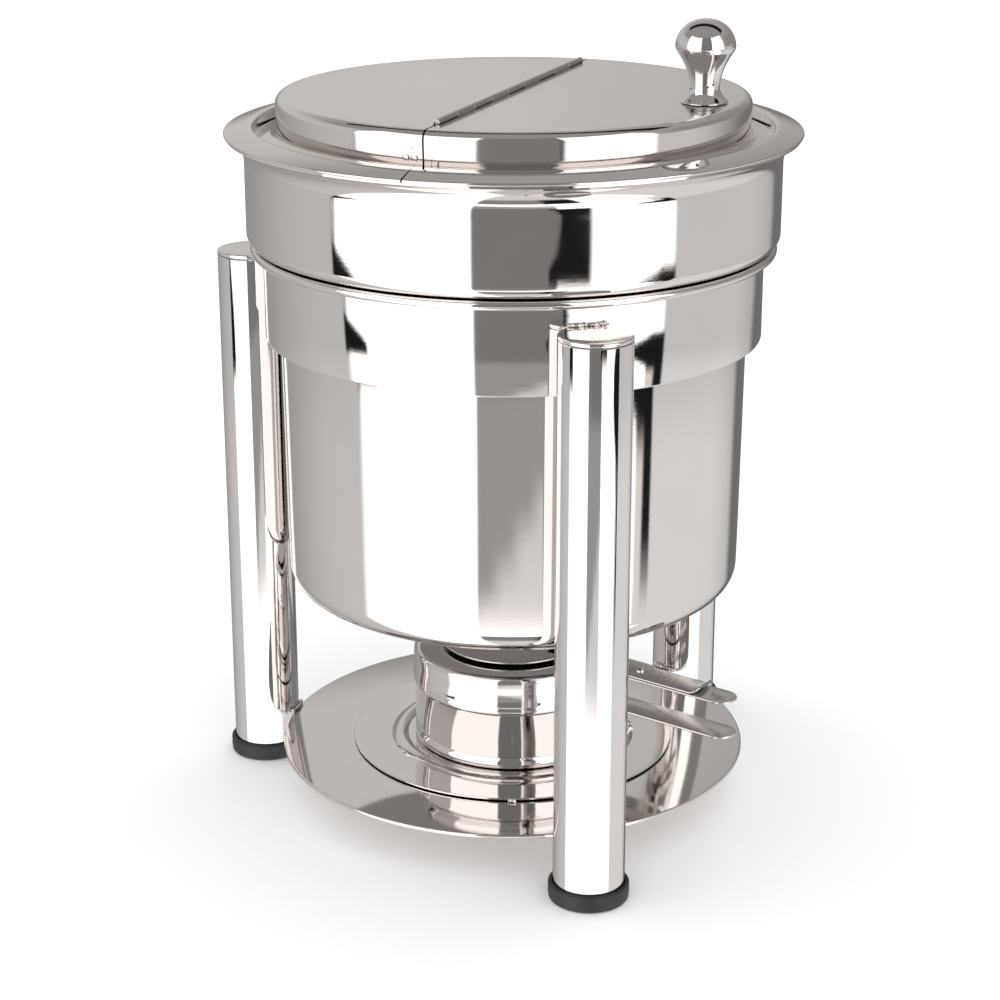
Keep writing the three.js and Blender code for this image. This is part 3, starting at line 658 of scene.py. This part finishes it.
def knob():
    """A waisted knob: a small foot, a neck, a soft crease and a ball, bored for its screw."""
    bore = [(0, 12.3), (2.3, 12.3), (2.3, 0)]
    foot = [(7.3, 0), (12.3, 0), (12.6, 0.35), (12.4, 0.8), (11.4, 1.7), (9.9, 3.2), (8.6, 5.0), (7.95, 6.8)]
    neck = [(7.85, 8.4), (8.05, 10.2), (8.5, 12.8), (9.3, 15.6), (10.3, 18.4), (11.7, 21.2), (13.2, 23.9)]
    crease = [(14.75, 26.2), (15.05, 26.7), (15.1, 27.0), (15.55, 27.7)]
    ball = [(15.75, 29.2), *bow((1.4, 28.4), 14.35, 8, 84, 16), (0, 42.7)]
    profile = [*bore, *foot, *neck, *crease, *ball]
    moved = [(r, KNOB_BASE + z) for r, z in profile]
    thing = lathe("knob_smooth", moved, segments=128, at=KNOB_PLACE, crease=26.0)
    add_piece(thing, "polished", "lid_flap", "knob")


LID_WALL = 127.35
SPOTS = ((175.8, 387.4, 1.6), (177.9, 387.4, 1.6), (177.2, 392.8, 0.7))  # angle, height, radius


def spot_marks():
    """Two ring-like spot-weld marks and a dimple on the fixed half's wall."""
    rings = ((0, 0.05), (0.72, 0.05), (0.86, -0.02), (1, 0.07), (1.15, -0.06))  # share of radius, rise
    up = Vector((0, 0, 1))
    for i, (angle, z, size) in enumerate(SPOTS, start=1):
        points, faces = spun([(size * r, rise) for r, rise in rings], 28, False)
        centre = Vector((*polar(LID_WALL, angle), z))
        out = Vector((centre.x, centre.y, 0)).normalized()
        side = Vector((-out.y, out.x, 0))
        placed = [tuple(centre + side * x + up * y + out * rise) for x, y, rise in points]
        add_piece(finish_mesh(f"spot_mark_{i}", placed, faces), "polished", "lid")


# --------------------------------------------------------------------- burner

HANDLE_TURN = -105.8  # the angle that both handles and the lever point to


def burner_can():
    """A sheet can with a rolled foot, a pressed bead below its shoulder and an open neck."""
    bottom, wall, inside = 28.9, 56.3, 54.0
    foot = [(0, bottom), *bow((54.2, bottom + 2.4), 2.4, -90, 20, 8), (wall, bottom + 4.6)]
    foot += [(55.4, bottom + 6.0), (54.9, bottom + 6.7), (55.3, bottom + 7.4), (wall, bottom + 8.2)]
    bead = [(wall, 61.8), (56.7, 62.8), (57.0, 63.8), (57.0, 64.8), (56.7, 65.7), (wall, 66.5)]
    neck = [(54.8, 66.5), (54.8, 77.6), (54.4, 78), (inside, 77.6), (inside, bottom + 1), (0, bottom + 1)]
    can = lathe("burner_can_smooth", [*foot, (wall, 45), *bead, *neck], segments=192)
    add_piece(can, "burner", "burner", "burner_can")


def burner_cap():
    """A cap with a rolled flame opening and a flanged lower edge."""
    under = [(35, 82.0), (35.9, 82.0), (35.9, 84.1), *bow((52.9, 81.0), 3.1, 90, 0, 6)]
    flange = [(56.0, 66.8), (57.2, 66.8), (57.3, 67.6), (56.9, 68.6), (56.9, 76)]
    top = [*bow((52.9, 81.0), 4, 0, 90, 10), (36.2, 85.0), *bow((36.0, 84.0), 1.0, 90, 180, 5)]
    cap = lathe("burner_cap_smooth", [*under, *flange, *top], segments=192, closed=True)
    add_piece(cap, "burner", "burner_cap", "burner_cap")


STRIP_HALF = 9.0  # half the width of both handles and the lever


def straight_run(x0, x1, z):
    """Stations and half widths of a flat strip with parallel edges."""
    return [(x0 + (x1 - x0) * i / 24, z, 0.0) for i in range(25)], [STRIP_HALF] * 25


def round_ended(x0, x1, z):
    """Stations and half widths of a flat strip whose far end is a half circle."""
    stations, widths = straight_run(x0, x1 - STRIP_HALF, z)
    for i in range(1, 17):
        a = math.pi / 2 * i / 16
        stations.append((x1 - STRIP_HALF + STRIP_HALF * math.sin(a), z, 0.0))
        widths.append(max(STRIP_HALF * math.cos(a), 0.6))
    return stations, widths


def curled(x0, x1, z, radius, last):
    """Stations and half widths of a flat strip whose far end curls up to the last angle."""
    stations, widths = straight_run(x0, x1, z)
    for i in range(1, 15):
        a = math.radians(last) * i / 14
        stations.append((x1 + radius * math.sin(a), z + radius * (1 - math.cos(a)), a))
        widths.append(STRIP_HALF * (1 if i < 11 else 1 - 0.05 * (i - 10) ** 1.4))
    return stations, widths


def handle_piece(name, parts, body, node):
    """Strip parts laid out along X, joined and turned to where the handles point."""
    points, faces = joined(*parts)
    handle = finish_mesh(name, turned_about(points, HANDLE_TURN), faces, crease=50.0)
    add_piece(handle, "strip", body, node)


def burner_strips():
    """The can's handle with its riveted tab, the cap's handle, and the damper with its lever."""
    reach = 149.0  # of both handles, from the burner's axis
    can_level, cap_level, lever_level = 65.25, 85.9, 87.4

    tab, tab_faces = ribbon([(65.2 - drop, 0, 0) for drop in range(19)], [STRIP_HALF] * 19, 1.4)
    standing = [(58.1 - z, y, x) for x, y, z in tab]  # upright, flat against the can
    strip = ribbon(*round_ended(x0=57.4, x1=reach, z=can_level), thickness=1.5)
    handle_piece("can_handle_smooth", [strip, (standing, tab_faces)], "burner", "can_handle")

    strip = ribbon(*round_ended(x0=43.0, x1=reach, z=cap_level), thickness=1.2)
    handle_piece("cap_handle_smooth", [strip], "burner_cap", "cap_handle")

    lever = ribbon(*curled(x0=30.0, x1=124.0, z=lever_level, radius=7.4, last=59.0), thickness=1.2)
    disc = [(0, 86.8), *bow((40.5, 87.3), 0.5, -90, 0, 3), *bow((40.5, 87.5), 0.5, 0, 90, 3), (0, 88)]
    handle_piece("damper_smooth", [lever, spun(disc, 160, False)], "damper", "damper")


def rivet_head(name, place, radius, height, body, node, standing=True):
    """A low dome on a short shank; it points along Z, or outwards when it isn't standing."""
    turns = [math.pi / 2 * k / 7 for k in range(1, 7)]
    dome = [(radius * math.cos(t), height * math.sin(t)) for t in turns]
    points, faces = spun([(0, -1.0), (radius, -1.0), (radius, 0), *dome, (0, height)], 28, False)
    x, y, z = place
    if standing:
        moved = [(px + x, py + y, pz + z) for px, py, pz in points]
    else:
        moved = [(pz + x, py + y, px + z) for px, py, pz in points]
    thing = finish_mesh(name, turned_about(moved, HANDLE_TURN), faces)
    add_piece(thing, "polished", body, node)


def rivets():
    """Places are along a handle, across it, and up."""
    place = (88, 0, 88.3)
    rivet_head("damper_rivet_head", place, 2.6, 1.5, "burner_cap", "damper_rivet")
    for i, across in enumerate((-5, 5), start=1):
        node = f"cap_handle_rivet_{i}"
        rivet_head(f"{node}_head", (47.5, across, 86.5), 2.0, 0.2, "burner_cap", node)
        node = f"can_handle_rivet_{i}"
        rivet_head(f"{node}_head", (59.1, across, 53), 2.6, 1.3, "burner", node, standing=False)


def kept_nodes():
    """Finishes for the CAD nodes that stay: inner pieces whose plain shape is right."""
    material, slot = FINISHES["hidden"]
    for name in ("hinge_pin", "seam_clip_left", "seam_clip_right", "knob_screw", "fuel_tin"):
        node = frame["nodes"][name]
        node.data.materials.clear()
        node.data.materials.append(material)


# ---------------------------------------------------------------------- stage

WALL_RADIUS = 1500.0
WALL_TOP, WALL_BOTTOM = 1900.0, -1100.0
WHITE, BLACK, CEILING = 1.7, 0.012, 0.33
# Bearings of the edges of the two windows, in degrees right of the camera's direction.
LEFT_EDGE, RIGHT_EDGE = -76, 68
GAP_LEFT, GAP_RIGHT = -16.5, 31


def ease(t):
    """A smooth step from 0 to 1, held outside."""
    t = min(1.0, max(0.0, t))
    return t * t * (3 - 2 * t)


def mix(a, b, t):
    return a + (b - a) * t


def span(value, start, end, soft):
    """1 between start and end and 0 outside, over a soft edge."""
    return ease((value - start) / soft + 0.5) * ease((end - value) / soft + 0.5)


def side_light(bearing, z):
    """The grey walls beside and behind the windows, darker far round on either side."""
    low = ease((-120 - z) / 130)
    turn = abs(bearing)
    left = mix(0.61 + 0.07 * low, 0.28, ease((turn - 80) / 95))
    right = mix(0.68 + 0.16 * low, 0.3, ease((turn - 108) / 60))
    behind = ease((turn - 140) / 40)
    light = mix(left, right, 0.5 + 0.5 * (1 - behind) * (1 if bearing > 0 else -1))
    # Two darker places on the right: a dark post far round, and the wall above the table.
    light = mix(light, 0.18, ease((bearing - 134) / 9) * ease((174 - bearing) / 4) * ease((250 - z) / 200))
    light = mix(light, 0.2, ease((bearing - 85) / 60) * ease((180 - bearing) / 20) * ease((z - 90) / 50))
    # The upper wall, and the ceiling's grey where it comes down on either side.
    upper = mix(0.62, 0.3, span(bearing, 70, 165, 40))
    light = mix(light, upper, ease((z - 350) / 250))
    light = mix(light, 0.4, ease((z - 900) / 700))
    light = mix(light, CEILING, ease((z - 1296) / 20) * span(bearing, -118, 0, 2))
    return mix(light, CEILING, ease((z - 1560) / 20) * span(bearing, 0, 84, 2))


def gap_light(bearing, z):
    """The darker strip between the two windows, with the pale table coming up across it."""
    light = mix(0.23, 0.38, ease((-135 - z) / 20))
    light = mix(light, 0.8, ease((-235 - z - 5.4 * (18 - bearing)) / 55))
    light = mix(light, WHITE, ease((-430 - z) / 110))
    return mix(light, 0.28, ease((-760 - z) / 60))


def wall_light(bearing, z):
    """Brightness of the studio wall at a bearing and a height."""
    side = side_light(bearing, z)
    low = ease((-120 - z) / 130)
    high = ease((z - 80) / 40)
    split = max(ease((z + 84) / 14), ease((-760 - z) / 60))  # where the right window has a black edge
    # The left window, with a black sliver at its outer edge.
    light = mix(side, WHITE, span(bearing, LEFT_EDGE, 0, 1.0 + 4 * low))
    sliver = mix(-66, -78, ease((z + 110) / 165))
    light = mix(light, BLACK, span(bearing, LEFT_EDGE - 2, sliver, 0.7) * ease((z + 160) / 20))
    # The gap, then the right window: black edge, white pane, and a lower part without the edge.
    light = mix(light, gap_light(bearing, z), span(bearing, GAP_LEFT, 40, 0.8))
    edge = mix(14, 19, ease((z + 30) / 110)) + 2 * high
    light = mix(light, BLACK, span(bearing, edge, 60, 0.8) * split)
    light = mix(light, WHITE, span(bearing, GAP_RIGHT - 8 * high, RIGHT_EDGE, 2.5) * split)
    light = mix(light, WHITE, span(bearing, 17.5, 60, 0.8) * (1 - split))
    # The dark frame at the right window's outer edge, the side wall, and a black line on top.
    inner = mix(mix(62, 51, ease((-30 - z) / 70)), 64, low)
    dark = ease((-25 - z) / 15) * ease((z + 470) / 120)
    light = mix(light, BLACK, span(bearing, inner, RIGHT_EDGE + 1, 1.5) * dark)
    light = mix(light, side, ease((bearing - RIGHT_EDGE - 1) / 1.5 + 0.5))
    return mix(light, BLACK, span(bearing, LEFT_EDGE, RIGHT_EDGE, 1.0) * ease((z - 1868) / 6))


def ceiling_light(across, away):
    """Grey up to a slanting line beyond the vessel, then black, then grey again."""
    beyond = away - 300 + 0.306 * across
    light = mix(CEILING, BLACK, ease(beyond / 30))
    return mix(light, 0.42, ease((beyond - 540) / 80))


def ground_light(across, away):
    """The wall's lowest row carries on over the ground and fades towards the middle."""
    bearing = math.degrees(math.atan2(across, -away))
    radius = math.hypot(across, away)
    gap = span(bearing, GAP_LEFT, GAP_RIGHT, 0.8) * ease((1100 - radius) / 300)
    light = mix(wall_light(bearing, WALL_BOTTOM), 0.8, gap)
    return mix(light, 0.75, ease((150 - radius) / 100))


def card(name, points, faces, light):
    """An emitting sheet that is seen only in reflections."""
    n = Nodes(name)
    tone = n.add("ShaderNodeAttribute", attribute_name="light").outputs["Color"]
    shader = n.add("ShaderNodeEmission", {"Color": tone})
    n.add("ShaderNodeOutputMaterial", {"Surface": shader.outputs[0]})
    n.material.cycles.emission_sampling = "NONE"
    sheet = finish_mesh(name, points, faces)
    tones = sheet.data.color_attributes.new("light", "FLOAT_COLOR", "POINT")
    tones.data.foreach_set("color", [c for v in light for c in (v, v * 0.965, v * 0.945, 1.0)])
    sheet.data.materials.append(n.material)
    sheet.visible_camera = False
    sheet.visible_diffuse = False
    sheet.visible_shadow = False
    sheet.visible_transmission = False
    sheet.visible_volume_scatter = False


def studio_wall():
    """A round wall, with more rows of points where the steel mirrors it most."""
    heights = [WALL_BOTTOM + 50 * i for i in range(18)]
    heights += [-200 + 10 * i for i in range(40)]
    heights += [200 + 50 * i for i in range(33)]
    heights += [1860, 1868, 1874, WALL_TOP]
    points, light = [], []
    steps = 720
    for z in heights:
        for j in range(steps):
            bearing = -180 + 360 * j / steps
            points.append((*polar(WALL_RADIUS, FRONT + bearing), z))
            light.append(wall_light(bearing, z))
    card("studio_wall", points, band_faces(len(heights), steps), light)


def studio_sheet(name, z, shade):
    """A level disc inside the wall; shade takes the distance to the right and away from the camera."""
    rings, steps = 60, 180
    points, light = [], []
    for i in range(rings + 1):
        radius = WALL_RADIUS * (0.001 + 0.999 * i / rings)
        for j in range(steps):
            bearing = 360 * j / steps
            points.append((*polar(radius, FRONT + bearing), z))
            across, toward = polar(radius, 90 - bearing)
            light.append(shade(across, -toward))
    card(name, points, band_faces(rings + 1, steps), light)


def studio():
    studio_wall()
    studio_sheet("studio_ceiling", WALL_TOP, ceiling_light)
    studio_sheet("studio_ground", WALL_BOTTOM, ground_light)


def floor():
    """A pale matt floor just under the feet."""
    n = Nodes("pale_floor")
    place = n.add("ShaderNodeTexCoord").outputs["Object"]
    tone = n.ramp(n.noise(place, 3.0), [(0.3, (0.93, 0.93, 0.93)), (0.7, (0.95, 0.95, 0.95))])
    inputs = {"Base Color": tone, "Roughness": 0.9, "Specular IOR Level": 0.0}
    shader = n.add("ShaderNodeBsdfPrincipled", inputs)
    n.add("ShaderNodeOutputMaterial", {"Surface": shader.outputs[0]})
    size, z = 12000.0, -0.3
    points = [(-size, -size, z), (size, -size, z), (size, size, z), (-size, size, z)]
    ground = finish_mesh("floor", points, [[0, 1, 2, 3]])
    ground.data.materials.append(n.material)
    ground.visible_glossy = False


def world():
    """An even pale surrounding."""
    sky = bpy.data.worlds.new("studio_world")
    sky.use_nodes = True
    shade = sky.node_tree.nodes["Background"]
    shade.inputs["Color"].default_value = (1, 1, 1, 1)
    shade.inputs["Strength"].default_value = 1.25
    bpy.context.scene.world = sky


def camera():
    """Looks slightly down on the front. Lengths are in metres, the focal length in sensor widths."""
    distance, height, side = 1.2724, 0.6081, 0.003
    tilt, heading, focal = 18.98, 0.463, 2.3791
    sensor = 36.0
    data = bpy.data.cameras.new("camera")
    data.sensor_width = sensor
    data.lens = sensor * focal
    data.clip_start, data.clip_end = 0.05, 100
    thing = bpy.data.objects.new("camera", data)
    bpy.context.scene.collection.objects.link(thing)
    thing.location = turned_about([(side, -distance, height)], FRONT + 90)[0]
    turn = math.radians(FRONT + 90) + math.radians(heading)
    thing.rotation_euler = (math.radians(90 - tilt), 0, turn)
    bpy.context.scene.camera = thing


ring_band()
base_plate()
burner_seat()
legs()
stand_welds()
water_pan()
food_pan()
pan_rim()
lid_half("lid_fixed_half_smooth", 0.0, "lid", "lid_fixed_half")
lid_half("lid_flap_smooth", 180.0, "lid_flap", "lid_flap")
hinge_leaf("hinge_leaf_fixed_smooth", 1, "lid", "hinge_leaf_fixed")
hinge_leaf("hinge_leaf_flap_smooth", -1, "lid_flap", "hinge_leaf_flap")
spot_marks()
knob()
burner_can()
burner_cap()
burner_strips()
rivets()
kept_nodes()
studio()
floor()
world()
camera()

settings = bpy.context.scene.view_settings
settings.view_transform = "Standard"
settings.look = "None"
